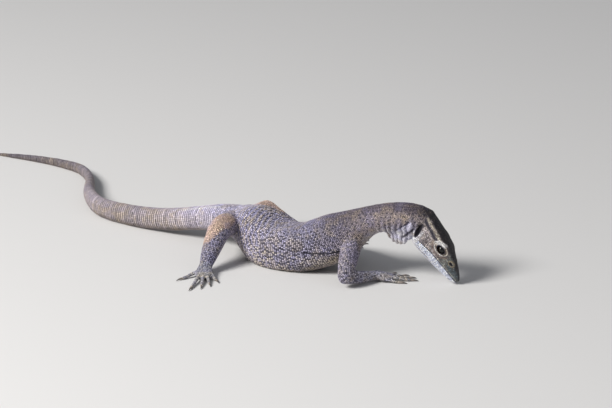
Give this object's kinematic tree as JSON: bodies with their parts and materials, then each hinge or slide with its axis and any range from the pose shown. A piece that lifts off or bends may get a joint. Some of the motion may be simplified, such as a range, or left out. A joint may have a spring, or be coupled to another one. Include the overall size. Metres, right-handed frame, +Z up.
{
  "type": "monitor lizard",
  "caption": "Life-size monitor lizard walking low to the ground with its head bent down and its long tail trailing in a bend, made as a still model.",
  "frame": {"origin": "under the middle of the whole animal's box, on the floor", "axes": "+X runs forward along the trunk, +Y to the animal's left and +Z up"},
  "size_m": [0.8038, 0.2938, 0.0971],
  "materials": {
    "back_skin": "dry small-scaled skin, grey-brown with dark and cream flecks",
    "tail_skin": "dry skin in fine rings, pale tan-grey",
    "limb_skin": "dry small-scaled skin, grey with pale spots",
    "jaw_skin": "dry pale skin with grey bars",
    "eyeball": "wet and dark",
    "claw_horn": "dark horn with a slight shine"
  },
  "bodies": {
    "root": {"head": "back_skin", "neck": "back_skin", "torso": "back_skin", "lower_jaw": "jaw_skin", "tail_1": "tail_skin", "tail_2": "tail_skin", "tail_3": "tail_skin", "tail_4": "tail_skin", "tail_5": "tail_skin", "tail_6": "tail_skin", "right_upper_arm": "limb_skin", "right_forearm": "limb_skin", "right_hand": "limb_skin", "right_thigh": "limb_skin", "right_shank": "limb_skin", "right_foot": "limb_skin", "right_eye": "eyeball", "left_upper_arm": "limb_skin", "left_forearm": "limb_skin", "left_hand": "limb_skin", "left_thigh": "limb_skin", "left_shank": "limb_skin", "left_foot": "limb_skin", "left_eye": "eyeball", "right_hand_claw_1": "claw_horn", "right_hand_claw_2": "claw_horn", "right_hand_claw_3": "claw_horn", "right_hand_claw_4": "claw_horn", "right_hand_claw_5": "claw_horn", "left_hand_claw_1": "claw_horn", "left_hand_claw_2": "claw_horn", "left_hand_claw_3": "claw_horn", "left_hand_claw_4": "claw_horn", "left_hand_claw_5": "claw_horn", "right_foot_claw_1": "claw_horn", "right_foot_claw_2": "claw_horn", "right_foot_claw_3": "claw_horn", "right_foot_claw_4": "claw_horn", "right_foot_claw_5": "claw_horn", "left_foot_claw_1": "claw_horn", "left_foot_claw_2": "claw_horn", "left_foot_claw_3": "claw_horn", "left_foot_claw_4": "claw_horn", "left_foot_claw_5": "claw_horn"}
  },
  "joints": []
}
